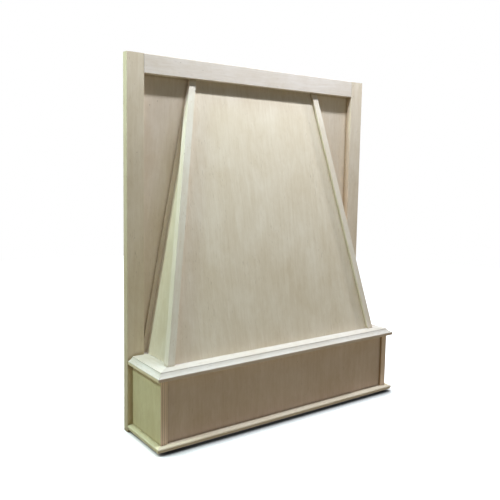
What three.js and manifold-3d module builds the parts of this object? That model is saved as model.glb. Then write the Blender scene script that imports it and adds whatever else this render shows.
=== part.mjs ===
// Wooden range hood cover: a back frame that fits flush between two wall cabinets, a tapered
// chimney that leans back to the frame's top rail, a mitred ledge moulding and an apron box
// whose open underside takes a metal liner. Millimetres, +Z up, the front faces -Y.

import * as THREE from 'three';
import { mergeVertices } from 'three/addons/utils/BufferGeometryUtils.js';
import Module from 'manifold-3d';

const wasm = await Module();
wasm.setup();

// ---------------------------------------------------------------- driving dimensions

const WIDTH = 762; // over the stiles: fills a 30 in gap between cabinets
const HEIGHT = 901.7; // full length of the stiles
const STOCK = 19.05; // frame lumber thickness
const FRAME_FACE = 44.45; // face width of stiles and rail
const EASE = 0.8; // small chamfer on exposed long edges
const GAP = 0.3; // clearance between neighbouring pieces

const RECESS_PLY = 6; // plywood behind the frame, beside the chimney
const RECESS_LAP = 31; // how far that plywood laps behind the stile
const RECESS_RAIL_LAP = 10; // and behind the rail, clear of the screw pockets

const FOOT_HALF_WIDTH = 336.2; // chimney's outer half width where it stands on the ledge
const HEAD_HALF_WIDTH = 208.1; // and where it meets the rail's underside
const FOOT_REACH = 119.6; // chimney's front ahead of the frame's face, at the foot
const HEAD_REACH = -10.9; // at the head it lies behind the frame's face
const TRIM = 18; // corner strips, seen from the front and from the side
const PANEL_PLY = 9.5; // chimney front panel
const SIDE_PLY = 12; // chimney side panels
const SIDE_SETBACK = 11; // side panels inside the strips' outer face
const SCRIBE_THICKNESS = 4; // strip that covers the joint of side and recess panels
const PANEL_TUCK = 8; // how far the front panel runs up behind the rail
const CLEAT = 18; // square glue strips

const LEDGE_TOP = 186.5;
const LEDGE_THICKNESS = 18;
const LEDGE_WIDTH = 70;
const LEDGE_OVERHANG = 12;
const LEDGE_STEP = 1.8; // fillet between the flat top and the moulded edge
const LEDGE_LIP = 6.5; // plain vertical edge under the moulding

const APRON_REACH = 145.7; // corner face ahead of the frame's face
const APRON_HALF_WIDTH = 367.5;
const APRON_PLY = 18;
const APRON_PANEL_PLY = 12;
const APRON_SETBACK = 6.35; // front panel behind the sides' front edges

const MOULDING_BOTTOM = 7;
const MOULDING_THICKNESS = 10.5;
const MOULDING_OVERHANG = 13.5;
const MOULDING_BEAD = 3.2; // radius of the bead along the outer edge
const MOULDING_FILLET = 1.8; // how far the flat under the bead stands back

const POCKET_RADIUS = 4.75; // slanted screw pockets in the back of the top rail
const POCKET_PILOT_RADIUS = 2;
const POCKET_TILT = THREE.MathUtils.degToRad(15);
const POCKET_STEP_INSET = 16; // solid wood left between pocket and rail end
const POCKET_SPACING = 22;
const POCKET_LENGTH = 80; // the cutter's length, well clear of the back face

// ---------------------------------------------------------------- derived dimensions

const RAIL_UNDERSIDE = HEIGHT - FRAME_FACE;
const RAIL_LENGTH = WIDTH - 2 * FRAME_FACE - 2 * GAP;
const CHIMNEY_HEIGHT = RAIL_UNDERSIDE - LEDGE_TOP;
const SIDE_SLOPE = (FOOT_HALF_WIDTH - HEAD_HALF_WIDTH) / CHIMNEY_HEIGHT;
const FRONT_SLOPE = (FOOT_REACH - HEAD_REACH) / CHIMNEY_HEIGHT;
const RECESS_FACE = STOCK - GAP; // chimney pieces stop just short of the recess panels
const LEDGE_BOTTOM = LEDGE_TOP - LEDGE_THICKNESS;
const APRON_BOTTOM = MOULDING_BOTTOM + MOULDING_THICKNESS + GAP;
const APRON_HEIGHT = LEDGE_BOTTOM - APRON_BOTTOM - GAP;
const APRON_INNER_HALF_WIDTH = APRON_HALF_WIDTH - APRON_PLY;
const APRON_PANEL_BACK = APRON_REACH - APRON_SETBACK - APRON_PANEL_PLY;
const MOULDING_REACH = APRON_REACH + MOULDING_OVERHANG;
const CLEAT_BACK = STOCK + GAP + CLEAT; // rearmost face: the block behind the top rail
const DEPTH = MOULDING_REACH + CLEAT_BACK;
const SIDES = [['left', -1], ['right', 1]];

// ---------------------------------------------------------------- colours, pale unfinished maple

const SOLID_MAPLE = '#d9cdb9';
const FRAME_MAPLE = '#cfc2ab';
const PANEL_VENEER = '#d2c6ac';
const SIDE_VENEER = '#c5c4a4';
const APRON_VENEER = '#a08e76';
const CLEAT_WOOD = '#cdb791';

// ---------------------------------------------------------------- shape helpers

function outline(points) {
  return new THREE.Shape(points.map(([u, v]) => new THREE.Vector2(u, v)));
}

// A rectangle with its four corners chamfered, lower left corner at (u, v).
function easedRectangle(u, v, width, height, ease = EASE) {
  return outline([
    [u + ease, v], [u + width - ease, v], [u + width, v + ease], [u + width, v + height - ease],
    [u + width - ease, v + height], [u + ease, v + height], [u, v + height - ease], [u, v + ease],
  ]);
}

// The outline is drawn in the plane square to the axis, and extruded along the axis.
// x: outline in (y, z). y: outline in (x, z). z: outline in (x, y).
function prism(shape, axis, from, to) {
  const geometry = new THREE.ExtrudeGeometry(shape, { depth: to - from, bevelEnabled: false });
  if (axis === 'x') {
    geometry.rotateY(Math.PI / 2).rotateX(Math.PI / 2).translate(from, 0, 0);
  } else if (axis === 'y') {
    geometry.rotateX(Math.PI / 2).translate(0, to, 0);
  } else {
    geometry.translate(0, 0, from);
  }
  return geometry;
}

// A moulding section (outward reach, height) swept along a run whose ends are cut at an angle:
// startAt and endAt give the end's place along the run for each reach.
function mitredRun(section, startAt, endAt) {
  const geometry = new THREE.ExtrudeGeometry(section, { depth: 1, bevelEnabled: false });
  const place = geometry.attributes.position;
  for (let i = 0; i < place.count; i += 1) {
    const reach = place.getX(i);
    const along = THREE.MathUtils.lerp(endAt(reach), startAt(reach), place.getZ(i));
    place.setXYZ(i, along, -reach, place.getY(i));
  }
  geometry.computeVertexNormals();
  return geometry;
}

function toManifold(geometry) {
  const bare = geometry.clone();
  bare.deleteAttribute('normal');
  bare.deleteAttribute('uv');
  const merged = mergeVertices(bare, 1e-3);
  return new wasm.Manifold(new wasm.Mesh({
    numProp: 3,
    vertProperties: new Float32Array(merged.attributes.position.array),
    triVerts: new Uint32Array(merged.index.array),
  }));
}

function toGeometry(manifold) {
  const mesh = manifold.getMesh();
  const geometry = new THREE.BufferGeometry();
  geometry.setAttribute('position', new THREE.BufferAttribute(mesh.vertProperties, 3));
  geometry.setIndex(new THREE.BufferAttribute(mesh.triVerts, 1));
  const flat = geometry.toNonIndexed();
  flat.computeVertexNormals();
  return flat;
}

function common(first, second) {
  return toGeometry(toManifold(first).intersect(toManifold(second)));
}

function cut(body, tools) {
  return toGeometry(tools.reduce((left, tool) => left.subtract(toManifold(tool)), toManifold(body)));
}

function addPiece(group, name, geometry, color, position = [0, 0, 0]) {
  const material = new THREE.MeshStandardMaterial({ color, roughness: 0.62, metalness: 0 });
  const mesh = new THREE.Mesh(geometry, material);
  mesh.name = name;
  mesh.position.set(...position);
  group.add(mesh);
}

// ---------------------------------------------------------------- back frame

// Two slanted screw pockets near each end of the rail, open to the back face. Each is a wide bore
// that stops short of the rail's end, and a pilot hole from there to the middle of the end grain.
function railPockets() {
  const tools = [];
  const rise = POCKET_STEP_INSET * Math.tan(POCKET_TILT);
  for (const [, side] of SIDES) {
    for (const offset of [-POCKET_SPACING / 2, POCKET_SPACING / 2]) {
      const bore = new THREE.CylinderGeometry(POCKET_RADIUS, POCKET_RADIUS, POCKET_LENGTH, 16);
      bore.translate(0, -POCKET_LENGTH / 2, 0);
      const pilotLength = 3 * POCKET_STEP_INSET;
      const pilot = new THREE.CylinderGeometry(POCKET_PILOT_RADIUS, POCKET_PILOT_RADIUS, pilotLength, 10);
      for (const tool of [bore, pilot]) {
        tool.rotateZ(-side * (Math.PI / 2 + POCKET_TILT));
        tool.translate(side * (RAIL_LENGTH / 2 - POCKET_STEP_INSET), STOCK / 2 + rise, offset);
        tools.push(tool);
      }
    }
  }
  return tools;
}

// Plywood beside the chimney: its inner edge follows the chimney's slope.
function recessOutline(side) {
  const outer = WIDTH / 2 - FRAME_FACE + RECESS_LAP;
  const top = RAIL_UNDERSIDE + RECESS_RAIL_LAP;
  const innerHead = HEAD_HALF_WIDTH - TRIM + GAP;
  const innerFoot = FOOT_HALF_WIDTH - TRIM + GAP;
  return outline([
    [side * outer, LEDGE_BOTTOM],
    [side * outer, top],
    [side * innerHead, top],
    [side * innerHead, RAIL_UNDERSIDE],
    [side * innerFoot, LEDGE_TOP],
    [side * innerFoot, LEDGE_BOTTOM],
  ]);
}

function backFrame() {
  const group = new THREE.Group();
  const stileSection = easedRectangle(-FRAME_FACE / 2, 0, FRAME_FACE, STOCK);
  for (const [word, side] of SIDES) {
    const centre = side * (WIDTH - FRAME_FACE) / 2;
    addPiece(group, `${word}_stile`, prism(stileSection, 'z', 0, HEIGHT), FRAME_MAPLE, [centre, 0, 0]);
    const back = STOCK + GAP;
    const panel = prism(recessOutline(side), 'y', back, back + RECESS_PLY);
    addPiece(group, `recess_panel_${word}`, panel, PANEL_VENEER);
  }
  const railSection = easedRectangle(0, -FRAME_FACE / 2, STOCK, FRAME_FACE);
  const rail = cut(prism(railSection, 'x', -RAIL_LENGTH / 2, RAIL_LENGTH / 2), railPockets());
  addPiece(group, 'top_rail', rail, SOLID_MAPLE, [0, 0, HEIGHT - FRAME_FACE / 2]);
  return group;
}

// ---------------------------------------------------------------- tapered chimney
// Heights here are above the ledge's top. Every piece is cut from two leaning bands: one seen
// from the front, one seen from the side, so that its faces and ends are compound bevels.

function halfWidthAt(height) {
  return FOOT_HALF_WIDTH - SIDE_SLOPE * height;
}

function frontAt(height) {
  return -FOOT_REACH + FRONT_SLOPE * height;
}

function heightWhereFrontIs(y) {
  return (y + FOOT_REACH) / FRONT_SLOPE;
}

// Seen from the front: a strip that follows the chimney's sloping edge.
function edgeBand(side, inset, width, top) {
  return outline([
    [side * (halfWidthAt(GAP) - inset), GAP],
    [side * (halfWidthAt(top) - inset), top],
    [side * (halfWidthAt(top) - inset - width), top],
    [side * (halfWidthAt(GAP) - inset - width), GAP],
  ]);
}

// Seen from the side: a strip that follows the leaning front, no deeper than the rear limit.
function leaningBand(inset, depth, top, rearLimit = Infinity) {
  const points = [[frontAt(GAP) + inset, GAP], [frontAt(top) + inset, top]];
  const topBack = frontAt(top) + inset + depth;
  points.push([Math.min(topBack, rearLimit), top]);
  if (topBack > rearLimit) {
    points.push([rearLimit, heightWhereFrontIs(rearLimit - inset - depth)]);
  }
  points.push([frontAt(GAP) + inset + depth, GAP]);
  return outline(points);
}

function compoundPiece(frontOutline, sideOutline) {
  return common(
    prism(frontOutline, 'y', -FOOT_REACH - TRIM, STOCK + 3 * CLEAT),
    prism(sideOutline, 'x', -WIDTH / 2, WIDTH / 2),
  );
}

function cornerTrim(side) {
  const top = CHIMNEY_HEIGHT - GAP;
  return compoundPiece(edgeBand(side, 0, TRIM, top), leaningBand(0, TRIM, top, RECESS_FACE));
}

function frontPanel() {
  const top = CHIMNEY_HEIGHT + PANEL_TUCK;
  const foot = halfWidthAt(GAP) - TRIM - GAP;
  const head = halfWidthAt(top) - TRIM - GAP;
  const face = outline([[-foot, GAP], [foot, GAP], [head, top], [-head, top]]);
  return compoundPiece(face, leaningBand(TRIM - PANEL_PLY, PANEL_PLY, top));
}

// The side panel narrows to nothing where the corner strip reaches the recess panel.
function sidePanel(side) {
  const thinnest = 1.5;
  const inset = TRIM + GAP;
  const top = heightWhereFrontIs(RECESS_FACE - inset - thinnest);
  const flank = outline([
    [frontAt(GAP) + inset, GAP],
    [RECESS_FACE, GAP],
    [RECESS_FACE, top],
    [RECESS_FACE - thinnest, top],
  ]);
  return compoundPiece(edgeBand(side, SIDE_SETBACK, SIDE_PLY, top), flank);
}

// The scribe strip ends in a long scarf under the corner strip's back.
function scribeStrip(side) {
  const front = RECESS_FACE - SCRIBE_THICKNESS;
  const rearTop = heightWhereFrontIs(RECESS_FACE - TRIM - GAP);
  const flank = outline([
    [front, GAP],
    [RECESS_FACE, GAP],
    [RECESS_FACE, rearTop],
    [front, heightWhereFrontIs(front - TRIM - GAP)],
  ]);
  return compoundPiece(edgeBand(side, 0, SIDE_SETBACK - GAP, rearTop), flank);
}

function chimneyCleat(side) {
  const top = CHIMNEY_HEIGHT - 70;
  const inset = SIDE_SETBACK + SIDE_PLY + GAP;
  return compoundPiece(edgeBand(side, inset, CLEAT, top), leaningBand(TRIM + GAP, CLEAT, top));
}

// Lies behind the rail, notched over the front panel's top edge and bevelled to its back.
function topCleat() {
  const halfLength = 150;
  const above = 34;
  const below = 42;
  const front = STOCK + GAP;
  const notch = CHIMNEY_HEIGHT + PANEL_TUCK + GAP;
  const panelBack = (height) => frontAt(height) + TRIM + GAP;
  const section = outline([
    [front, notch],
    [panelBack(notch), notch],
    [panelBack(CHIMNEY_HEIGHT - below), CHIMNEY_HEIGHT - below],
    [CLEAT_BACK, CHIMNEY_HEIGHT - below],
    [CLEAT_BACK, CHIMNEY_HEIGHT + above],
    [front, CHIMNEY_HEIGHT + above],
  ]);
  return prism(section, 'x', -halfLength, halfLength);
}

function chimney() {
  const group = new THREE.Group();
  group.position.z = LEDGE_TOP;
  addPiece(group, 'chimney_front_panel', frontPanel(), PANEL_VENEER);
  addPiece(group, 'top_cleat', topCleat(), CLEAT_WOOD);
  for (const [word, side] of SIDES) {
    addPiece(group, `corner_trim_${word}`, cornerTrim(side), SOLID_MAPLE);
    addPiece(group, `chimney_side_${word}`, sidePanel(side), SIDE_VENEER);
    addPiece(group, `scribe_strip_${word}`, scribeStrip(side), PANEL_VENEER);
    addPiece(group, `chimney_cleat_${word}`, chimneyCleat(side), CLEAT_WOOD);
  }
  return group;
}

// ---------------------------------------------------------------- mitred mouldings
// A section is drawn as (reach beyond the apron's face, height above the moulding's underside).

function ledgeSection() {
  const shape = new THREE.Shape();
  const inner = LEDGE_OVERHANG - LEDGE_WIDTH;
  const shoulder = LEDGE_THICKNESS - LEDGE_STEP;
  const nose = 1.2;
  shape.moveTo(inner, 0);
  shape.lineTo(LEDGE_OVERHANG - EASE, 0);
  shape.lineTo(LEDGE_OVERHANG, EASE);
  shape.lineTo(LEDGE_OVERHANG, LEDGE_LIP);
  shape.quadraticCurveTo(LEDGE_OVERHANG, LEDGE_LIP + nose, LEDGE_OVERHANG - nose, LEDGE_LIP + nose * 1.6);
  shape.quadraticCurveTo(LEDGE_OVERHANG * 0.36, LEDGE_LIP + 4.2, 0, shoulder);
  shape.lineTo(-EASE / 2, LEDGE_THICKNESS);
  shape.lineTo(inner, LEDGE_THICKNESS);
  return shape;
}

function bottomSection() {
  const shape = new THREE.Shape();
  const inner = -APRON_SETBACK - APRON_PANEL_PLY;
  const flat = MOULDING_OVERHANG - MOULDING_FILLET;
  const beadCentre = MOULDING_OVERHANG - MOULDING_BEAD;
  const beadHeight = MOULDING_THICKNESS - 0.6 - MOULDING_BEAD;
  shape.moveTo(inner, 0);
  shape.lineTo(flat, 0);
  shape.lineTo(flat, beadHeight - MOULDING_BEAD + 0.4);
  shape.absarc(beadCentre, beadHeight, MOULDING_BEAD, -Math.PI / 3, Math.PI / 2, false);
  shape.lineTo(0, MOULDING_THICKNESS);
  shape.lineTo(inner, MOULDING_THICKNESS);
  return shape;
}

// One run across the front, mitred at both corners.
function frontRun(section) {
  const corner = (reach) => APRON_HALF_WIDTH + reach - GAP;
  return mitredRun(section, (reach) => -corner(reach), corner);
}

// One run down a side, mitred at the front corner and square at the frame's face.
function sideRun(section, side) {
  const frontCorner = (reach) => APRON_REACH + reach - GAP;
  const geometry = side < 0
    ? mitredRun(section, () => GAP, frontCorner)
    : mitredRun(section, (reach) => -frontCorner(reach), () => -GAP);
  geometry.rotateZ(side * Math.PI / 2);
  return geometry;
}

// The ledge's side runs on past the stile's inner edge, to the recess panel.
function ledgeHorn(side) {
  const run = toManifold(sideRun(ledgeSection(), side));
  const inner = APRON_HALF_WIDTH + LEDGE_OVERHANG - LEDGE_WIDTH;
  const outer = WIDTH / 2 - FRAME_FACE - GAP;
  const plan = outline([[side * inner, -2], [side * outer, -2], [side * outer, RECESS_FACE],
    [side * inner, RECESS_FACE]]);
  const shift = side * APRON_HALF_WIDTH;
  const tongue = prism(plan, 'z', 0, LEDGE_THICKNESS).translate(-shift, 0, 0);
  return toGeometry(run.add(toManifold(tongue)));
}

function ledge() {
  const group = new THREE.Group();
  group.position.z = LEDGE_BOTTOM;
  addPiece(group, 'ledge_front', frontRun(ledgeSection()), SOLID_MAPLE, [0, -APRON_REACH, 0]);
  for (const [word, side] of SIDES) {
    addPiece(group, `ledge_${word}`, ledgeHorn(side), SOLID_MAPLE, [side * APRON_HALF_WIDTH, 0, 0]);
  }
  return group;
}

function bottomMoulding() {
  const group = new THREE.Group();
  group.position.z = MOULDING_BOTTOM;
  const front = frontRun(bottomSection());
  addPiece(group, 'bottom_moulding_front', front, SOLID_MAPLE, [0, -APRON_REACH, 0]);
  for (const [word, side] of SIDES) {
    const run = sideRun(bottomSection(), side);
    const place = [side * APRON_HALF_WIDTH, 0, 0];
    addPiece(group, `bottom_moulding_${word}`, run, SOLID_MAPLE, place);
  }
  return group;
}

// ---------------------------------------------------------------- apron and its inner strips
// Heights here are above the apron's lower edge.

function apronPanels(group) {
  const half = APRON_INNER_HALF_WIDTH - GAP;
  const front = outline([[-half, 0], [half, 0], [half, APRON_HEIGHT], [-half, APRON_HEIGHT]]);
  const panelBack = -APRON_PANEL_BACK;
  addPiece(group, 'apron_front', prism(front, 'y', panelBack - APRON_PANEL_PLY, panelBack), APRON_VENEER);
  const sideSection = easedRectangle(-APRON_PLY / 2, -APRON_REACH, APRON_PLY, APRON_REACH - GAP, EASE / 2);
  for (const [word, side] of SIDES) {
    const centre = side * (APRON_HALF_WIDTH - APRON_PLY / 2);
    const panel = prism(sideSection, 'z', 0, APRON_HEIGHT);
    addPiece(group, `apron_side_${word}`, panel, SIDE_VENEER, [centre, 0, 0]);
  }
}

// A square strip with eased corners, its middle at the origin, along x, y or z.
function squareStrip(axis, length) {
  return prism(easedRectangle(-CLEAT / 2, -CLEAT / 2, CLEAT, CLEAT), axis, -length / 2, length / 2);
}

// Three strips round the inside of the apron at one height: front, left and right.
function stripRing(group, name, height) {
  const frontLength = 2 * (APRON_INNER_HALF_WIDTH - CLEAT - 4 * GAP);
  const frontPlace = -APRON_PANEL_BACK + CLEAT / 2 + GAP;
  addPiece(group, `${name}_front`, squareStrip('x', frontLength), CLEAT_WOOD, [0, frontPlace, height]);
  const sideLength = APRON_PANEL_BACK - CLEAT - 4 * GAP;
  for (const [word, side] of SIDES) {
    const across = side * (APRON_INNER_HALF_WIDTH - CLEAT / 2 - GAP);
    const place = [across, -CLEAT - 2 * GAP - sideLength / 2, height];
    addPiece(group, `${name}_${word}`, squareStrip('y', sideLength), CLEAT_WOOD, place);
  }
}

// Triangular glue blocks in the front corners, between the two rings of strips.
function cornerBlocks(group, bottom, top) {
  const leg = 30;
  const back = -APRON_PANEL_BACK + GAP;
  for (const [word, side] of SIDES) {
    const wall = side * (APRON_INNER_HALF_WIDTH - GAP);
    const plan = outline([[wall, back], [wall, back + leg], [wall - side * leg, back]]);
    addPiece(group, `corner_block_${word}`, prism(plan, 'z', bottom, top), CLEAT_WOOD);
  }
}

function rearCleats(group) {
  const length = APRON_HEIGHT - 2;
  for (const [word, side] of SIDES) {
    const across = side * (APRON_INNER_HALF_WIDTH - CLEAT / 2 - GAP);
    const place = [across, -CLEAT / 2 - GAP, APRON_HEIGHT / 2];
    addPiece(group, `rear_cleat_${word}`, squareStrip('z', length), CLEAT_WOOD, place);
  }
}

function apron() {
  const group = new THREE.Group();
  group.position.z = APRON_BOTTOM;
  const linerStripHeight = 22;
  const ledgeStripHeight = APRON_HEIGHT - CLEAT / 2;
  apronPanels(group);
  stripRing(group, 'liner_cleat', linerStripHeight);
  stripRing(group, 'ledge_cleat', ledgeStripHeight);
  cornerBlocks(group, linerStripHeight + CLEAT, ledgeStripHeight - CLEAT);
  rearCleats(group);
  return group;
}

// ---------------------------------------------------------------- assembly
// Origin: middle of the cover's footprint, level with the stiles' lower ends.

const cover = new THREE.Group();
cover.position.y = MOULDING_REACH - DEPTH / 2;
cover.add(backFrame(), chimney(), ledge(), bottomMoulding(), apron());

export default cover;
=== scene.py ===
"""Wooden range hood cover: wood, fastenings, floor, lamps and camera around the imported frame.

Lengths are in metres in the row's frame: +Z up, the moulded front faces -Y, +X is on the right as
seen from the room. Only the materials' noise, the plies and the turned profiles are in millimetres.
"""

import math
import random

import bmesh
import bpy
from mathutils import Matrix, Vector


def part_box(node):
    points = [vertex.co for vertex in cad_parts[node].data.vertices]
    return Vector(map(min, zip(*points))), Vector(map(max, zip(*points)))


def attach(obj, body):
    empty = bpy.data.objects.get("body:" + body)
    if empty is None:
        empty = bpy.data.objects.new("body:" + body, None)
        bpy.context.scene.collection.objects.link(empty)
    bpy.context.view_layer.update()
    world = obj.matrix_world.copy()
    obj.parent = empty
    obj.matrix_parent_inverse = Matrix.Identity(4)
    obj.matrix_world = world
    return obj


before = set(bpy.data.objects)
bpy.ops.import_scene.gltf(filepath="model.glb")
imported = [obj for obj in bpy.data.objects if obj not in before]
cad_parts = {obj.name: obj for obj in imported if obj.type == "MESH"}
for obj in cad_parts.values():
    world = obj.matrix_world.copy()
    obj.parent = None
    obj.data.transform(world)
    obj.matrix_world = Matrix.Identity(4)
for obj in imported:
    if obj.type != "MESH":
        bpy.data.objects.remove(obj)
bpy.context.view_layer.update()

BODY = "root"
SIDES = (("left", -1), ("right", 1))
UP, DOWN = (0, 0, 1), (0, 0, -1)
OUT, BACK = (0, -1, 0), (0, 1, 0)
ACROSS = (1, 0, 0)
MM = 0.001

# ---------------------------------------------------------------- sizes of the solids

JOINT = 0.3 * MM  # clearance between neighbouring boards
TRIM_FACE = 18 * MM  # width of the chimney's corner strips, seen from the front
CLEAT_SIDE = 18 * MM  # the square glue strips
PANEL_DEPTH = 9.5 * MM  # thickness of the chimney's front panel, from front to back
LEDGE_LIP = 7.5 * MM  # how far up the ledge's square lip goes, with its arris
POCKET_TILT = math.radians(15)
POCKET_STEP = 16 * MM  # from the rail's end to the step that a screw's head sits on
POCKET_HALF_SPACING = 11 * MM

# ---------------------------------------------------------------- camera, fitted to the photo

IMAGE_SIZE = 500
CAMERA_PLACE = Vector((-0.9871, -1.2656, 0.6360))
CAMERA_YAW = math.radians(35.96)
CAMERA_PITCH = math.radians(-6.00)
CAMERA_ROLL = math.radians(1.04)
FOCAL_PIXELS = 614.0
AXIS_ABOVE_CENTRE = 14.9  # pixels from the middle of the picture up to the lens axis
SENSOR = 36.0

# ---------------------------------------------------------------- lamps, world and floor

KEY_COLOUR = (0.81, 0.885, 1.0)
AMBIENT_COLOUR = (0.83, 0.90, 1.0)
RIGHT_COLOUR = (0.90, 0.96, 1.0)
LEFT_COLOUR = (0.74, 1.0, 0.88)
MIDDLE = (0.0, 0.0, 0.5)
LAMPS = {
    "key_lamp": {
        "place": (0.07, -0.26, 1.69), "aim": (0.07, 0.0, 0.5), "size": (1.0, 0.06), "power": 20.7,
        "colour": KEY_COLOUR,
    },
    "right_lamp": {
        "place": (1.5, -0.16, 1.36), "aim": MIDDLE, "size": (0.12, 0.12), "power": 13.1,
        "colour": RIGHT_COLOUR,
    },
    "left_lamp": {
        "place": (-1.3, 0.0, 1.38), "aim": MIDDLE, "size": (0.12, 0.12), "power": 11.3,
        "colour": LEFT_COLOUR,
    },
    "left_high_lamp": {
        "place": (-0.9, -0.1, 2.3), "aim": MIDDLE, "size": (0.4, 0.4), "power": 6.8,
        "colour": LEFT_COLOUR,
    },
    "back_lamp": {
        "place": (-0.3, 2.0, 1.3), "aim": MIDDLE, "size": (0.9, 0.9), "power": 17.0,
        "colour": RIGHT_COLOUR,
    },
}
AMBIENT_STRENGTH = 0.172
WHITE = (1.0, 1.0, 1.0)

FLOOR_RADIUS = 3.0
FLOOR_DROP = 0.4 * MM  # how far below the object the floor lies
FLOOR_TONE = (0.37, 0.31, 0.19)  # how much light the floor throws back on the object
FLOOR_WHITE = (0.90, 0.90, 0.90)
FLOOR_GLOW = (0.56, 1.0)  # what the camera sees on top of that, near the object and far off
GLOW_REACH = (0.4, 1.6)  # distances between which the glow goes from near to far
CONTACT_REACH = 0.07  # how far from the object the floor is darkened by it
CONTACT_LIGHT = (-0.35, 0.75, 0.56)  # where the floor's soft light comes from
CONTACT_OPEN = (0.33, 0.92)  # shares of open air at which the floor is darkest and clear
CONTACT_TONE = (0.03, 0.035, 0.037)

# ---------------------------------------------------------------- wood colours

STILE_WOOD = {"left": (0.70, 0.58, 0.43), "right": (0.75, 0.63, 0.49)}
RAIL_WOOD = (0.77, 0.67, 0.58)
TRIM_WOOD = {"left": (0.75, 0.67, 0.55), "right": (0.75, 0.65, 0.53)}
# the corner strips' side faces: painted light on the left strip, painted shade on the right strip's
# reveal
TRIM_SIDE_LIT_AND_SHADED = {"left": (0.86, 0.75, 0.65), "right": (0.70, 0.62, 0.50)}
SCRIBE_WOOD = (0.69, 0.58, 0.44)
LEDGE_FRONT_WOOD = (0.64, 0.57, 0.515)
# the ledge's side runs: a paler copy of the front's wood, painted light from the left
LEDGE_SIDE_LIT_WOOD = (0.74, 0.67, 0.60)
# the ledge's lip: painted shade on the front, painted light on the sides
LEDGE_FRONT_LIP_SHADE = (0.60, 0.46, 0.36)
LEDGE_SIDE_LIP_LIGHT = (0.87, 0.73, 0.52)
MOULDING_FRONT_WOOD = (0.71, 0.61, 0.47)
# the moulding's side runs: a paler, yellower copy of the front's wood, painted light from the left
MOULDING_SIDE_LIT_WOOD = (0.88, 0.77, 0.54)
# the front moulding's upright faces: a paler, pinker copy, painted light
MOULDING_UPRIGHT_LIT = (0.76, 0.64, 0.55)
PANEL_WOOD = (0.735, 0.625, 0.48)
# the right recess panel's copy is paler: painted light
RECESS_WOOD_AND_LIGHT = {"left": (0.71, 0.59, 0.46), "right": (0.80, 0.67, 0.52)}
CHIMNEY_SIDE_WOOD = (0.76, 0.65, 0.515)
# the apron's sides: a yellow-green copy, painted light from the left
APRON_SIDE_LIT_WOOD = (0.755, 0.66, 0.435)
APRON_WOOD = (0.72, 0.56, 0.46)
APRON_EDGE_WOOD = (0.91, 0.70, 0.56)
CLEAT_WOOD = (0.66, 0.50, 0.31)
BACK_VENEER = (0.52, 0.37, 0.25)  # the plywood's rougher hidden face

# Shares of a board's own colour
PALER = (1.05, 1.07, 1.10)  # the early growth
DEEPER = (0.88, 0.84, 0.77)  # the late growth
DARKEST = (0.50, 0.42, 0.33)  # flecks and open pores
CROSS_LAYER = (0.80, 0.78, 0.74)  # every second ply on a panel's edge
JOINT_SHADE = (0.62, 0.56, 0.46)  # painted shade that darkens the wood where two boards meet
TOP_FACE_SHADE = (0.42, 0.40, 0.37)  # painted shade on the upward faces at the top, held down from the lamp above
END_GRAIN = (0.62, 0.86)  # end grain, in its pores and between them

# paler arrises: partly wear, partly a painted highlight along each edge
ARRIS_WEAR_AND_HIGHLIGHT = (0.86, 0.80, 0.70)

# ---------------------------------------------------------------- figure, edges and wear

# Noise: stretch is how long its features are across, through and along the board in mm.
SWAY = {"stretch": (170, 170, 300), "detail": 2}
GROWTH = {"stretch": (110, 110, 1100), "detail": 1}
STREAK = {"stretch": (11, 11, 260), "detail": 3, "roughness": 0.6}
FIBRE = {"stretch": (2.1, 2.1, 42), "detail": 4, "roughness": 0.66}
MOTTLE = {"stretch": (16, 16, 26), "detail": 2, "roughness": 0.6, "distortion": 0.8}
CLOUD = {"stretch": (75, 75, 130), "detail": 3, "roughness": 0.55, "distortion": 0.5}
DASH = {"stretch": (2.3, 2.3, 15), "detail": 2}
DASH_PATCH = {"stretch": (52, 52, 95), "detail": 1}
SPOT = {"stretch": (6, 6, 8), "detail": 1}
PORES = {"stretch": (0.8, 0.8, 0.8), "detail": 3, "roughness": 0.7}
WAVER = {"stretch": (24, 24, 24)}
HANDLED = {"stretch": (9, 9, 40), "detail": 2}

SWAY_WIDTH = 26.0  # mm that the grain wanders sideways
GROWTH_RINGS = 120.0  # radians of early and late growth over the growth noise's range
RING_WEIGHT = 0.05
MIDDLE_TONE = 0.42  # 0 is the early growth's colour, 1 the late growth's
STREAK_WEIGHT, FIBRE_WEIGHT, MOTTLE_WEIGHT, CLOUD_WEIGHT = 0.70, 1.05, 0.62, 1.15
DASH_WEIGHT = 0.40
FIBRE_RELIEF, FLECK_RELIEF = 0.8, 0.6

# Where each of these starts and where it is full, on the noise it is taken from
DASH_RANGE = (0.62, 0.73)
DASH_PATCH_RANGE = (0.40, 0.66)
SPOT_RANGE = (0.78, 0.86)
PORE_RANGE = (0.3, 0.7)
HANDLED_RANGE = (0.30, 0.62)

# The same, on the cosine between the surface and the board's face, grain or the way up
PANEL_BACK = (-0.5, -0.8)
PANEL_EDGE = (0.86, 0.55)
SOLID_EDGE = (0.40, 0.15)
BOARD_END = (0.70, 0.92)
SKYWARD = (0.85, 0.97)

WAVER_DEPTH = 0.5  # mm that the plies wander
LAYER_CHANGE = (0.42, 0.58)  # where one ply gives way to the next, as shares of its thickness
ANY_HEIGHT = 9.0  # above every board
EDGE_BLUR = 0.5 * MM  # half the height over which an edge's colour ends
CEILING = (0.86, 0.89)  # heights between which a board's upward faces take the painted shade

JOINT_REACH = 8 * MM  # how far from a joint its painted shade goes
# on the stiles the painted shade reaches across the strip beside the apron
STILE_JOINT_REACH = 15 * MM
JOINT_OPEN = (0.92, 0.60)  # shares of open air at which the painted shade starts and is full
WEAR_AND_HIGHLIGHT_RADIUS = 1.6 * MM
WEAR_AND_HIGHLIGHT_TURN = (0.995, 0.86)  # cosine between the rounded and the true surface, none and full wear and painted highlight
WEAR_AND_HIGHLIGHT_SHARE = 0.35

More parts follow.
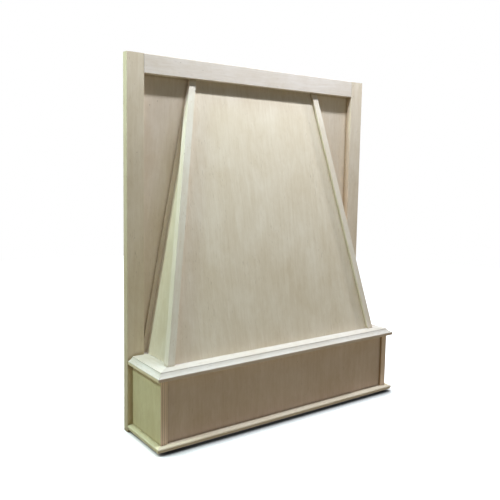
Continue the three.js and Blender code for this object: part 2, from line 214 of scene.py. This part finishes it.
ROUGHNESS = (0.67, 0.81)  # of pale and of deep wood
ROUGHNESS_TONES = (0.1, 0.8)
SPECULAR = 0.15
BUMP_STRENGTH, BUMP_DEPTH = 0.16, 0.25 * MM

COPLANAR = math.radians(0.5)  # facets that turn less than this become one
SHARP = math.radians(28)  # edges that turn more than this are rounded
ARRIS = 0.35 * MM

FIRST_BOARD_SEED, STAPLE_SEED, GLUE_SEED = 11, 5, 8


# ---------------------------------------------------------------- node helpers


class Tree:
    """A thin wrapper that makes a node tree read like a list of steps."""

    def __init__(self, tree):
        self.tree = tree
        self.tree.nodes.clear()

    def node(self, kind, values=None, **settings):
        made = self.tree.nodes.new(kind)
        for name, value in settings.items():
            setattr(made, name, value)
        for name, value in (values or {}).items():
            self.feed(made.inputs[name], value)
        return made

    def feed(self, socket, value):
        if isinstance(value, bpy.types.NodeSocket):
            self.tree.links.new(value, socket)
        else:
            socket.default_value = value

    def math(self, operation, *values):
        return self.node("ShaderNodeMath", dict(enumerate(values)), operation=operation).outputs[0]

    def vector(self, operation, *values):
        made = self.node("ShaderNodeVectorMath", dict(enumerate(values)), operation=operation)
        return made.outputs["Value" if operation in ("DOT_PRODUCT", "LENGTH") else "Vector"]

    def part(self, vector, axis):
        return self.node("ShaderNodeSeparateXYZ", {"Vector": vector}).outputs[axis]

    def noise(self, place, stretch, detail=2.0, roughness=0.5, distortion=0.0):
        """Noise whose features are about stretch millimetres long on each axis, from 0 to 1."""
        scaled = self.vector("DIVIDE", place, stretch)
        values = {"Vector": scaled, "Scale": 1.0, "Detail": detail, "Roughness": roughness}
        values["Distortion"] = distortion
        return self.node("ShaderNodeTexNoise", values).outputs["Fac"]

    def remap(self, value, low, high, to_low=0.0, to_high=1.0, kind="SMOOTHSTEP"):
        values = {"Value": value, "From Min": low, "From Max": high}
        values.update({"To Min": to_low, "To Max": to_high})
        return self.node("ShaderNodeMapRange", values, interpolation_type=kind).outputs["Result"]

    def mix(self, factor, first, second, blend="MIX"):
        made = self.node("ShaderNodeMix", data_type="RGBA", blend_type=blend)
        self.feed(made.inputs[0], factor)
        self.feed(made.inputs[6], first)
        self.feed(made.inputs[7], second)
        return made.outputs[2]

    def darken(self, colour, share):
        return self.mix(1.0, colour, share, blend="MULTIPLY")


def rgba(colour):
    return (*colour, 1.0)


def shaded(colour, share):
    return rgba(tuple(c * k for c, k in zip(colour, share)))


def new_material(name):
    material = bpy.data.materials.new(name)
    material.use_nodes = True
    return material, Tree(material.node_tree)


def new_object(name, data):
    made = bpy.data.objects.new(name, data)
    bpy.context.scene.collection.objects.link(made)
    return made


# ---------------------------------------------------------------- wood


def make_figure_group():
    """The figure of a pale, fine grained board. Place is (across, through, along) in mm."""
    group = bpy.data.node_groups.new("maple_figure", "ShaderNodeTree")
    group.interface.new_socket("Place", in_out="INPUT", socket_type="NodeSocketVector")
    for label in ("Tone", "Fleck", "Relief"):
        group.interface.new_socket(label, in_out="OUTPUT", socket_type="NodeSocketFloat")
    t = Tree(group)
    place = t.node("NodeGroupInput").outputs["Place"]

    sway = t.math("MULTIPLY", t.noise(place, **SWAY), SWAY_WIDTH)
    bent = t.vector("ADD", place, t.node("ShaderNodeCombineXYZ", {0: sway}).outputs[0])

    ring = t.math("SINE", t.math("MULTIPLY", t.noise(bent, **GROWTH), GROWTH_RINGS))
    fibre = t.noise(bent, **FIBRE)
    layers = (
        (t.noise(bent, **STREAK), STREAK_WEIGHT),
        (fibre, FIBRE_WEIGHT),
        (t.noise(bent, **MOTTLE), MOTTLE_WEIGHT),
        (t.noise(place, **CLOUD), CLOUD_WEIGHT),
    )
    tone = t.math("MULTIPLY_ADD", ring, RING_WEIGHT, MIDDLE_TONE)
    for layer, weight in layers:
        tone = t.math("ADD", tone, t.math("MULTIPLY", t.math("SUBTRACT", layer, 0.5), weight))

    dash = t.remap(t.noise(bent, **DASH), *DASH_RANGE)
    gathered = t.remap(t.noise(place, **DASH_PATCH), *DASH_PATCH_RANGE)
    dash = t.math("MULTIPLY", t.math("MULTIPLY", dash, gathered), DASH_WEIGHT)
    fleck = t.math("MAXIMUM", dash, t.remap(t.noise(place, **SPOT), *SPOT_RANGE))

    raised = t.math("MULTIPLY", fibre, FIBRE_RELIEF)
    relief = t.math("SUBTRACT", raised, t.math("MULTIPLY", fleck, FLECK_RELIEF))
    t.node("NodeGroupOutput", {"Tone": tone, "Fleck": fleck, "Relief": relief})
    return group


def board_axes(grain, face):
    """A board's own axes as (across, through, along), from its grain and the normal of its face."""
    along = Vector(grain).normalized()
    across = Vector(face).cross(along).normalized()
    through = along.cross(across)
    return across, through, along


def board_place(t, coordinate, axes, seed):
    """Places in the board's own axes in millimetres, shifted so that no two boards look alike."""
    placed = t.node("ShaderNodeMapping", {"Vector": coordinate}, vector_type="TEXTURE")
    offset = random.Random(seed)
    placed.inputs["Location"].default_value = [offset.uniform(-3, 3) for _ in range(3)]
    placed.inputs["Rotation"].default_value = Matrix(axes).transposed().to_euler()
    placed.inputs["Scale"].default_value = (MM, MM, MM)
    return placed.outputs["Vector"]


def show_plies(t, plan, colour, tone, place, facing):
    """A plywood panel has a coarser veneer on its hidden face and shows its layers on its edges."""
    veneer = t.mix(tone, rgba(BACK_VENEER), shaded(BACK_VENEER, DEEPER))
    colour = t.mix(t.remap(facing, *PANEL_BACK), colour, veneer)
    waver = t.math("MULTIPLY", t.noise(place, **WAVER), WAVER_DEPTH)
    layer = t.math("PINGPONG", t.math("ADD", t.part(place, "Y"), waver), plan["ply"])
    low, high = (plan["ply"] * share for share in LAYER_CHANGE)
    cross, plain = shaded(plan["edge"], CROSS_LAYER), rgba(plan["edge"])
    layers = t.mix(t.remap(layer, low, high), cross, plain)
    return t.mix(t.remap(t.math("ABSOLUTE", facing), *PANEL_EDGE), colour, layers)


def show_ends(t, colour, place, endways):
    """Solid wood is darker and open on its end grain."""
    pores = t.remap(t.noise(place, **PORES), *PORE_RANGE, *END_GRAIN, kind="LINEAR")
    return t.mix(t.remap(endways, *BOARD_END), colour, t.darken(colour, pores))


def show_edges(t, plan, colour, tone, height, facing):
    """The edges of a solid board can have a colour of their own, up to a height; on the ledge, the
    front moulding and the corner strips that colour is painted light and shade.
    """
    edge = t.mix(tone, shaded(plan["edge"], PALER), shaded(plan["edge"], DEEPER))
    low_down = t.remap(height, plan["edge_top"] + EDGE_BLUR, plan["edge_top"] - EDGE_BLUR)
    turned = t.remap(t.math("ABSOLUTE", facing), *SOLID_EDGE)
    return t.mix(t.math("MULTIPLY", turned, low_down), colour, edge)


def paint_joint_shade(t, plan, colour):
    # Painted shade: the wood is darkened where little open air reaches it, in joints and corners.
    values = {"Distance": plan["reach"]}
    open_air = t.node("ShaderNodeAmbientOcclusion", values, samples=6).outputs["AO"]
    joint = t.remap(open_air, *JOINT_OPEN, 0.0, plan["grime"])
    return t.mix(joint, colour, t.darken(colour, rgba(JOINT_SHADE)))


def wear_and_highlight_arrises(t, colour, place):
    # Arrises turn paler: partly wear, partly a painted highlight along each edge.
    rounded = t.node("ShaderNodeBevel", {"Radius": WEAR_AND_HIGHLIGHT_RADIUS}, samples=4).outputs["Normal"]
    flat = t.node("ShaderNodeNewGeometry").outputs["Normal"]
    arris = t.remap(t.vector("DOT_PRODUCT", rounded, flat), *WEAR_AND_HIGHLIGHT_TURN)
    worn_and_lit = t.math("MULTIPLY", arris, t.remap(t.noise(place, **HANDLED), *HANDLED_RANGE))
    return t.mix(t.math("MULTIPLY", worn_and_lit, WEAR_AND_HIGHLIGHT_SHARE), colour, rgba(ARRIS_WEAR_AND_HIGHLIGHT))


def wood(name, figure, plan, seed):
    """Unfinished wood with its grain along one direction, worn as its place makes it, with painted
    shade in its joints and on its upward faces near the top and painted highlights on its arrises.
    """
    axes = board_axes(plan["grain"], plan["face"])
    _, through, along = axes
    material, t = new_material(name)
    coordinates = t.node("ShaderNodeTexCoord").outputs
    place = board_place(t, coordinates["Object"], axes, seed)
    height = t.part(coordinates["Object"], "Z")
    normal = coordinates["Normal"]
    facing = t.vector("DOT_PRODUCT", normal, tuple(through))

    made = t.node("ShaderNodeGroup", node_tree=figure)
    t.feed(made.inputs["Place"], place)
    tone, fleck, relief = (made.outputs[label] for label in ("Tone", "Fleck", "Relief"))
    colour = t.mix(tone, shaded(plan["colour"], PALER), shaded(plan["colour"], DEEPER))
    colour = t.mix(fleck, colour, shaded(plan["colour"], DARKEST))

    if plan["ply"]:
        colour = show_plies(t, plan, colour, tone, place, facing)
    else:
        endways = t.math("ABSOLUTE", t.vector("DOT_PRODUCT", normal, tuple(along)))
        colour = show_ends(t, colour, place, endways)
        if plan["edge"] != plan["colour"]:
            colour = show_edges(t, plan, colour, tone, height, facing)
    # painted shade: upward faces near the top are darkened
    skyward = t.remap(t.part(normal, "Z"), *SKYWARD)
    top_shade_mask = t.math("MULTIPLY", skyward, t.remap(height, *CEILING))
    colour = t.mix(top_shade_mask, colour, t.darken(colour, rgba(TOP_FACE_SHADE)))
    # painted shade in the joints and corners, from an occlusion test
    if plan["grime"]:
        colour = paint_joint_shade(t, plan, colour)
    colour = wear_and_highlight_arrises(t, colour, place)

    values = {"Strength": BUMP_STRENGTH, "Distance": BUMP_DEPTH, "Height": relief}
    bump = t.node("ShaderNodeBump", values).outputs["Normal"]
    dull = t.remap(tone, *ROUGHNESS_TONES, *ROUGHNESS, kind="LINEAR")
    values = {"Base Color": colour, "Roughness": dull, "Normal": bump}
    shader = t.node("ShaderNodeBsdfPrincipled", values)
    shader.inputs["Specular IOR Level"].default_value = SPECULAR
    t.node("ShaderNodeOutputMaterial", {"Surface": shader.outputs["BSDF"]})
    return material


# ---------------------------------------------------------------- grain of each board


def chimney_lean():
    """How far the chimney's edges run inwards and backwards for each metre up."""
    low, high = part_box("corner_trim_right")
    inwards = (high.x - low.x - TRIM_FACE) / (high.z - low.z)
    low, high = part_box("chimney_front_panel")
    backwards = (high.y - low.y - PANEL_DEPTH) / (high.z - low.z)
    return inwards, backwards


def board(
    colour, grain, face, ply=0.0, edge=None, edge_top=ANY_HEIGHT, grime=0.0, reach=JOINT_REACH
):
    """ply is the thickness of one layer in mm, 0 for solid wood. edge is the colour of the edges,
    of solid wood only below the height edge_top; on the ledge's lip, the front moulding's upright
    faces and the corner strips' sides it is a copy matched to how they are lit, painted light and
    shade. grime is how far the wood is darkened by painted shade along its joints, within
    reach of them."""
    values = {"colour": colour, "grain": grain, "face": face, "ply": ply}
    values.update({"edge": edge or colour, "edge_top": edge_top, "grime": grime, "reach": reach})
    return values


def board_plan():
    """What each CAD node is cut from, and which way its grain and its best face look."""
    inwards, backwards = chimney_lean()
    leaning_out = (0, -1, backwards)
    lip_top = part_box("ledge_front")[0].z + LEDGE_LIP
    plan = {
        "top_rail": board(RAIL_WOOD, ACROSS, OUT),
        "chimney_front_panel": board(PANEL_WOOD, (0, backwards, 1), leaning_out, ply=1.6),
        "top_cleat": board(CLEAT_WOOD, ACROSS, OUT),
        "ledge_front": board(
            LEDGE_FRONT_WOOD, ACROSS, UP, edge=LEDGE_FRONT_LIP_SHADE, edge_top=lip_top
        ),
        "bottom_moulding_front": board(
            MOULDING_FRONT_WOOD, ACROSS, UP, edge=MOULDING_UPRIGHT_LIT, grime=0.9
        ),
        "apron_front": board(APRON_WOOD, UP, OUT, ply=1.7, grime=0.7),
        "ledge_cleat_front": board(CLEAT_WOOD, ACROSS, OUT),
        "liner_cleat_front": board(CLEAT_WOOD, ACROSS, OUT),
    }
    for word, side in SIDES:
        outwards = (side, 0, 0)
        edge = (-side * inwards, backwards, 1)
        plan[f"{word}_stile"] = board(
            STILE_WOOD[word], UP, OUT, grime=1.0, reach=STILE_JOINT_REACH
        )
        plan[f"recess_panel_{word}"] = board(RECESS_WOOD_AND_LIGHT[word], UP, OUT, ply=1.2, grime=0.8)
        plan[f"corner_trim_{word}"] = board(
            TRIM_WOOD[word], edge, leaning_out, edge=TRIM_SIDE_LIT_AND_SHADED[word], grime=0.8
        )
        plan[f"scribe_strip_{word}"] = board(SCRIBE_WOOD, (-side * inwards, 0, 1), OUT)
        plan[f"chimney_side_{word}"] = board(CHIMNEY_SIDE_WOOD, edge, (side, 0, inwards), ply=1.7)
        plan[f"chimney_cleat_{word}"] = board(CLEAT_WOOD, edge, leaning_out)
        plan[f"ledge_{word}"] = board(
            LEDGE_SIDE_LIT_WOOD, OUT, UP, edge=LEDGE_SIDE_LIP_LIGHT, edge_top=lip_top
        )
        plan[f"bottom_moulding_{word}"] = board(MOULDING_SIDE_LIT_WOOD, OUT, UP, grime=0.5)
        plan[f"apron_side_{word}"] = board(
            APRON_SIDE_LIT_WOOD, UP, outwards, ply=2.7, edge=APRON_EDGE_WOOD, grime=0.9
        )
        plan[f"corner_block_{word}"] = board(CLEAT_WOOD, UP, outwards)
        plan[f"rear_cleat_{word}"] = board(CLEAT_WOOD, UP, outwards)
        plan[f"ledge_cleat_{word}"] = board(CLEAT_WOOD, OUT, UP)
        plan[f"liner_cleat_{word}"] = board(CLEAT_WOOD, OUT, UP)
    return plan


def dress_boards():
    figure = make_figure_group()
    for seed, (node, plan) in enumerate(sorted(board_plan().items()), FIRST_BOARD_SEED):
        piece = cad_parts[node]
        piece.data.materials.clear()
        piece.data.materials.append(wood(f"{node}_wood", figure, plan, seed))
        ease_edges(piece)


def ease_edges(piece):
    """Sanded arrises: coplanar facets are joined, then each sharp edge is rounded a little."""
    join = piece.modifiers.new("coplanar", "DECIMATE")
    join.decimate_type = "DISSOLVE"
    join.angle_limit = COPLANAR
    ease = piece.modifiers.new("sanded_arris", "BEVEL")
    ease.width = ARRIS
    ease.segments = 2
    ease.limit_method = "ANGLE"
    ease.angle_limit = SHARP


# ---------------------------------------------------------------- filler, steel and glue

# Blotch is the size of the stuff's blotches in mm.
FILLER = {
    "pale": (0.72, 0.60, 0.45), "dark": (0.58, 0.44, 0.30), "rough": 0.8, "metallic": 0.0,
    "blotch": 0.5,
}
STEEL = {
    "pale": (0.66, 0.63, 0.56), "dark": (0.45, 0.42, 0.36), "rough": 0.38, "metallic": 0.9,
    "blotch": 1.5,
}
GLUE = {
    "pale": (0.80, 0.69, 0.45), "dark": (0.66, 0.50, 0.26), "rough": 0.28, "metallic": 0.0,
    "blotch": 3.0,
}
BLOTCH_RANGE = (0.3, 0.7)
BLOTCH_ROUGHNESS = (-0.06, 0.08)  # added to the roughness of pale and of dark blotches
BLOTCH_BUMP, BLOTCH_DEPTH = 0.2, 0.05 * MM


def small_stuff(name, pale, dark, rough, metallic, blotch):
    """A speckled material for filler, steel or glue."""
    material, t = new_material(name)
    place = t.vector("DIVIDE", t.node("ShaderNodeTexCoord").outputs["Object"], (MM, MM, MM))
    speckle = t.noise(place, (blotch,) * 3, detail=3, roughness=0.6)
    speckle = t.remap(speckle, *BLOTCH_RANGE)
    colour = t.mix(speckle, rgba(pale), rgba(dark))
    smoother, rougher = (rough + change for change in BLOTCH_ROUGHNESS)
    dull = t.remap(speckle, 0.0, 1.0, smoother, rougher, kind="LINEAR")
    values = {"Strength": BLOTCH_BUMP, "Distance": BLOTCH_DEPTH, "Height": speckle}
    bump = t.node("ShaderNodeBump", values).outputs["Normal"]
    values = {"Base Color": colour, "Roughness": dull, "Normal": bump}
    shader = t.node("ShaderNodeBsdfPrincipled", values)
    shader.inputs["Metallic"].default_value = metallic
    t.node("ShaderNodeOutputMaterial", {"Surface": shader.outputs["BSDF"]})
    return material


def bridge(shape, rings):
    """Joins rings of points into a skin and closes both ends."""
    made = [[shape.verts.new(point) for point in ring] for ring in rings]
    for low, high in zip(made, made[1:]):
        for i, vert in enumerate(low):
            after = (i + 1) % len(low)
            shape.faces.new((vert, low[after], high[after], high[i]))
    shape.faces.new(made[0][::-1])
    shape.faces.new(made[-1])


def turn(shape, centre, direction, profile, segments=16):
    """A turned form. Profile lists (height, radius, lobes) in mm; lobes above 0 draw in all but
    four points of that ring, for a cross recess."""
    direction = Vector(direction).normalized()
    side = direction.orthogonal().normalized()
    up = direction.cross(side)
    rings = []
    for height, radius, lobes in profile:
        ring = []
        for i in range(segments):
            angle = math.tau * i / segments
            reach = radius * MM * (1.0 if i % 4 == 0 else 1.0 - lobes)
            spoke = side * math.cos(angle) + up * math.sin(angle)
            ring.append(Vector(centre) + direction * height * MM + spoke * reach)
        rings.append(ring)
    bridge(shape, rings)


def add_piece(name, draw, material):
    """A new piece of the object: draw fills a bmesh in the row's frame."""
    mesh = bpy.data.meshes.new(name)
    shape = bmesh.new()
    draw(shape)
    bmesh.ops.recalc_face_normals(shape, faces=shape.faces)
    shape.to_mesh(mesh)
    shape.free()
    mesh.polygons.foreach_set("use_smooth", [True] * len(mesh.polygons))
    mesh.materials.append(material)
    piece = new_object(name, mesh)
    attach(piece, BODY)


# ---------------------------------------------------------------- fastenings

PIN_FILL = [(-0.4, 1.0, 0), (0.0, 1.15, 0), (0.07, 1.0, 0), (0.1, 0.5, 0)]
BRAD_HEAD = [(-0.6, 0.7, 0), (0.0, 0.9, 0), (0.14, 0.8, 0), (0.06, 0.35, 0)]
BRAD_SEGMENTS = 12
SCREW_HEAD = [
    (-0.8, 2.0, 0), (0.0, 4.0, 0), (0.5, 4.2, 0), (1.4, 3.7, 0), (2.1, 2.6, 0), (2.2, 2.2, 0),
    (2.1, 2.0, 0.6), (0.9, 1.4, 0.7),
]

TRIM_PINS = 6  # in each corner strip
LEDGE_FRONT_PINS, LEDGE_SIDE_PINS = 7, 2
LEDGE_PIN_INSET = 17 * MM  # from the ledge's outer edge, at its sides
FRONT_BRADS, SIDE_BRADS = 8, 3

STAPLE_HALF_LENGTH, STAPLE_RISE = 5.6 * MM, 0.5 * MM
STAPLE_HALF_WIDTH, STAPLE_HALF_THICKNESS = 0.65 * MM, 0.32 * MM
STAPLE_SHOULDER = 0.93  # where the crown is at its full height, as a share of its half length
STAPLES_DOWN = 8
STAPLES_ACROSS = (0.2, 0.5, 0.8)  # places along the plywood's upper edge
STAPLE_INSET, STAPLE_TOP_INSET = 11 * MM, 5 * MM
STAPLE_FOOT, STAPLE_SPAN_LOSS = 0.03, 0.05  # the row starts this far up and is this much shorter
STAPLE_LEAN = 0.12
STAPLE_SHIFT = (2, 4)  # mm across and up that a staple strays

BEAD_SPACING = 7 * MM
BEAD_THIN, BEAD_FAT, BEAD_TIP = 0.7 * MM, 1.9 * MM, 0.3 * MM
BEAD_CHANGE = 0.5  # mm that the bead's radius changes from one ring to the next, at most
BEAD_SEGMENTS = 8
BEAD_FOOT, BEAD_HEAD = 0.01, 0.02  # how far the glue stops short of a strip's ends


def lerp(start, end, share):
    return Vector(start) + (Vector(end) - Vector(start)) * share


def spread(start, end, count):
    """Evenly spaced points between two ends, half a space in from each."""
    return [lerp(start, end, (i + 0.5) / count) for i in range(count)]


def reaches(low, high):
    """How near to the middle and how far from it a box reaches, left or right."""
    return min(abs(low.x), abs(high.x)), max(abs(low.x), abs(high.x))


def draw_trim_fills(shape):
    """Filled pin holes down the middle of each corner strip's face."""
    inwards, backwards = chimney_lean()
    for word, side in SIDES:
        low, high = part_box(f"corner_trim_{word}")
        _, outer = reaches(low, high)
        foot = Vector((side * outer - side * TRIM_FACE / 2, low.y, low.z))
        rise = high.z - low.z
        head = foot + Vector((-side * inwards, backwards, 1)) * rise
        for spot in spread(foot, head, TRIM_PINS):
            turn(shape, spot, (0, -1, backwards), PIN_FILL)


def draw_ledge_fills(shape):
    """Filled pin holes in the ledge's flat top, over the strips inside the apron."""
    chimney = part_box("corner_trim_right")
    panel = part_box("apron_front")
    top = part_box("ledge_front")[1].z
    frame_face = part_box("top_rail")[0].y
    row = (panel[0].y + chimney[0].y) / 2
    for spot in spread((panel[0].x, row, top), (panel[1].x, row, top), LEDGE_FRONT_PINS):
        turn(shape, spot, UP, PIN_FILL)
    for _, side in SIDES:
        across = side * (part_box("ledge_right")[1].x - LEDGE_PIN_INSET)
        ends = (across, chimney[0].y, top), (across, frame_face, top)
        for spot in spread(*ends, LEDGE_SIDE_PINS):
            turn(shape, spot, UP, PIN_FILL)


def draw_moulding_brads(shape):
    """Brads driven up through the bottom moulding into the apron."""
    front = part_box("bottom_moulding_front")
    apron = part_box("apron_front")
    foot = front[0].z
    row = (apron[0].y + apron[1].y) / 2
    spots = spread((front[0].x, row, foot), (front[1].x, row, foot), FRONT_BRADS)
    for word, _ in SIDES:
        low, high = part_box(f"apron_side_{word}")
        across = (low.x + high.x) / 2
        spots += spread((across, row, foot), (across, high.y, foot), SIDE_BRADS)
    for spot in spots:
        turn(shape, spot, DOWN, BRAD_HEAD, segments=BRAD_SEGMENTS)


def draw_pocket_screws(shape):
    """Pan head screws in the slanted pockets that join the rail to the stiles."""
    low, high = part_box("top_rail")
    depth = (low.y + high.y) / 2 + POCKET_STEP * math.tan(POCKET_TILT)
    for _, side in SIDES:
        for offset in (-POCKET_HALF_SPACING, POCKET_HALF_SPACING):
            seat = (side * (high.x - POCKET_STEP), depth, (low.z + high.z) / 2 + offset)
            out = (-side * math.cos(POCKET_TILT), math.sin(POCKET_TILT), 0)
            turn(shape, seat, out, SCREW_HEAD)


def draw_staple(shape, centre, along, out):
    """A flat wire staple: its crown shows, its two legs go into the wood."""
    half, rise = STAPLE_HALF_LENGTH, STAPLE_RISE
    along, out = Vector(along).normalized(), Vector(out).normalized()
    across = along.cross(out)
    path = [(-half, -2 * rise), (-half, 0.4 * rise), (-half * STAPLE_SHOULDER, rise)]
    path += [(-x, y) for x, y in reversed(path)]
    corners = ((1, 1), (-1, 1), (-1, -1), (1, -1))
    rings = []
    for i, (x, y) in enumerate(path):
        ahead = path[min(i + 1, len(path) - 1)]
        behind = path[max(i - 1, 0)]
        run = Vector((ahead[0] - behind[0], ahead[1] - behind[1])).normalized()
        middle = centre + along * x + out * y
        normal = out * run.x - along * run.y
        rings.append([
            middle + across * STAPLE_HALF_WIDTH * u + normal * STAPLE_HALF_THICKNESS * v
            for u, v in corners
        ])
    bridge(shape, rings)


def draw_back_staples(shape):
    """Staples round the plywood behind the frame, each a little off its line."""
    chance = random.Random(STAPLE_SEED)
    wide, tall = STAPLE_SHIFT
    for word, side in SIDES:
        low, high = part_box(f"recess_panel_{word}")
        inner, outer = reaches(low, high)
        edge = side * (outer - STAPLE_INSET)
        span, top = high.z - low.z - STAPLE_SPAN_LOSS, high.z - STAPLE_TOP_INSET
        heights = [low.z + STAPLE_FOOT + i * span / (STAPLES_DOWN - 1) for i in range(STAPLES_DOWN)]
        spots = [(Vector((edge, high.y, height)), UP) for height in heights]
        ends = (side * inner, high.y, top), (edge, high.y, top)
        spots += [(lerp(*ends, share), ACROSS) for share in STAPLES_ACROSS]
        for spot, along in spots:
            lean = Vector((
                chance.uniform(-STAPLE_LEAN, STAPLE_LEAN), 0,
                chance.uniform(-STAPLE_LEAN, STAPLE_LEAN),
            ))
            shift = Vector((chance.uniform(-wide, wide), 0, chance.uniform(-tall, tall))) * MM
            draw_staple(shape, spot + shift, Vector(along) + lean, BACK)


def draw_glue(shape):
    """Squeezed out glue along the strips inside the chimney and the apron."""
    chance = random.Random(GLUE_SEED)
    beads = []
    for word, side in SIDES:
        low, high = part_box(f"chimney_cleat_{word}")
        inner, outer = reaches(low, high)
        foot = (side * (outer - CLEAT_SIDE), low.y - JOINT, low.z + BEAD_FOOT)
        head = (side * inner, high.y - CLEAT_SIDE - JOINT, high.z - BEAD_HEAD)
        beads.append((foot, head))
    low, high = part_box("liner_cleat_front")
    beads.append(((low.x + BEAD_FOOT, low.y, low.z), (high.x - BEAD_FOOT, low.y, low.z)))
    for start, end in beads:
        draw_bead(shape, Vector(start), Vector(end), chance)


def draw_bead(shape, start, end, chance):
    """One bead of glue, thicker and thinner by chance and closed to a tip at both ends."""
    count = int((end - start).length / BEAD_SPACING)
    run = (end - start).normalized()
    side = run.orthogonal().normalized()
    up = run.cross(side)
    angles = [math.tau * k / BEAD_SEGMENTS for k in range(BEAD_SEGMENTS)]
    spokes = [side * math.cos(angle) + up * math.sin(angle) for angle in angles]
    size = BEAD_THIN
    rings = []
    for i in range(count + 1):
        size += chance.uniform(-BEAD_CHANGE, BEAD_CHANGE) * MM
        size = min(BEAD_FAT, max(BEAD_THIN, size))
        if i in (0, count):
            size = BEAD_TIP
        middle = start + run * (i * BEAD_SPACING)
        rings.append([middle + spoke * size for spoke in spokes])
    bridge(shape, rings)


def add_fastenings():
    filler = small_stuff("wood_filler", **FILLER)
    steel = small_stuff("zinc_steel", **STEEL)
    glue = small_stuff("dry_glue", **GLUE)
    add_piece("trim_pin_fills", draw_trim_fills, filler)
    add_piece("ledge_pin_fills", draw_ledge_fills, filler)
    add_piece("moulding_brads", draw_moulding_brads, steel)
    add_piece("pocket_screws", draw_pocket_screws, steel)
    add_piece("back_staples", draw_back_staples, steel)
    add_piece("glue_beads", draw_glue, glue)


# ---------------------------------------------------------------- stage, lamps, camera


def camera_rays(t):
    """1 for what the camera sees, straight or in a reflection, and 0 for light on the object."""
    path = t.node("ShaderNodeLightPath").outputs
    seen = t.math("MAXIMUM", path["Is Camera Ray"], path["Is Glossy Ray"])
    return t.math("MAXIMUM", seen, path["Is Transmission Ray"])


def light_world():
    """A faint bluish light all round the object, in front of a white background."""
    world = bpy.data.worlds.new("studio")
    bpy.context.scene.world = world
    world.use_nodes = True
    t = Tree(world.node_tree)
    values = {"Color": rgba(AMBIENT_COLOUR), "Strength": AMBIENT_STRENGTH}
    ambient = t.node("ShaderNodeBackground", values).outputs[0]
    white = t.node("ShaderNodeBackground", {"Color": rgba(WHITE), "Strength": 1.0}).outputs[0]
    both = t.node("ShaderNodeMixShader", {0: camera_rays(t), 1: ambient, 2: white})
    t.node("ShaderNodeOutputWorld", {"Surface": both.outputs[0]})


def floor_material():
    """White to the camera, with a soft shadow close to the object; duller to the object itself."""
    material, t = new_material("pale_floor")
    place = t.node("ShaderNodeTexCoord").outputs["Object"]
    seen = camera_rays(t)
    glow = t.remap(t.vector("LENGTH", place), *GLOW_REACH, *FLOOR_GLOW)
    towards = t.node("ShaderNodeCombineXYZ", dict(enumerate(CONTACT_LIGHT))).outputs[0]
    values = {"Distance": CONTACT_REACH, "Normal": towards}
    open_air = t.node("ShaderNodeAmbientOcclusion", values, samples=16).outputs["AO"]
    clear = t.remap(open_air, *CONTACT_OPEN)
    lift = t.math("MULTIPLY", t.math("MULTIPLY", glow, clear), seen)
    white = t.mix(clear, rgba(CONTACT_TONE), rgba(FLOOR_WHITE))
    paint = t.mix(seen, rgba(FLOOR_TONE), white)
    matt = t.node("ShaderNodeBsdfDiffuse", {"Color": paint}).outputs[0]
    shine = t.node("ShaderNodeEmission", {"Color": rgba(WHITE), "Strength": lift}).outputs[0]
    both = t.node("ShaderNodeAddShader", {0: matt, 1: shine})
    t.node("ShaderNodeOutputMaterial", {"Surface": both.outputs[0]})
    return material


def make_floor():
    mesh = bpy.data.meshes.new("floor")
    shape = bmesh.new()
    bmesh.ops.create_circle(shape, cap_ends=True, segments=96, radius=FLOOR_RADIUS)
    shape.to_mesh(mesh)
    shape.free()
    floor = new_object("floor", mesh)
    floor.location.z = -FLOOR_DROP
    mesh.materials.append(floor_material())


def add_lamp(name, place, aim, size, power, colour):
    data = bpy.data.lights.new(name, "AREA")
    data.shape = "RECTANGLE"
    data.size, data.size_y = size
    data.energy = power
    data.color = colour
    lamp = new_object(name, data)
    lamp.location = place
    lamp.rotation_mode = "QUATERNION"
    lamp.rotation_quaternion = (Vector(aim) - Vector(place)).to_track_quat("-Z", "Y")


def light_object():
    light_world()
    for name, lamp in LAMPS.items():
        add_lamp(name, **lamp)


def place_camera():
    data = bpy.data.cameras.new("camera")
    data.sensor_width = SENSOR
    data.lens = FOCAL_PIXELS / IMAGE_SIZE * SENSOR
    data.shift_y = -AXIS_ABOVE_CENTRE / IMAGE_SIZE
    camera = new_object("camera", data)
    level, rise = math.cos(CAMERA_PITCH), math.sin(CAMERA_PITCH)
    forward = Vector((math.sin(CAMERA_YAW) * level, math.cos(CAMERA_YAW) * level, rise))
    right = Vector((math.cos(CAMERA_YAW), -math.sin(CAMERA_YAW), 0))
    up = right.cross(forward)
    rolled_right = right * math.cos(CAMERA_ROLL) + up * math.sin(CAMERA_ROLL)
    rolled_up = up * math.cos(CAMERA_ROLL) - right * math.sin(CAMERA_ROLL)
    axes = Matrix((rolled_right, rolled_up, -forward)).transposed()
    camera.matrix_world = Matrix.Translation(CAMERA_PLACE) @ axes.to_4x4()
    bpy.context.scene.camera = camera


place_camera()
bpy.context.scene.view_settings.view_transform = "Standard"
dress_boards()
add_fastenings()
make_floor()
light_object()
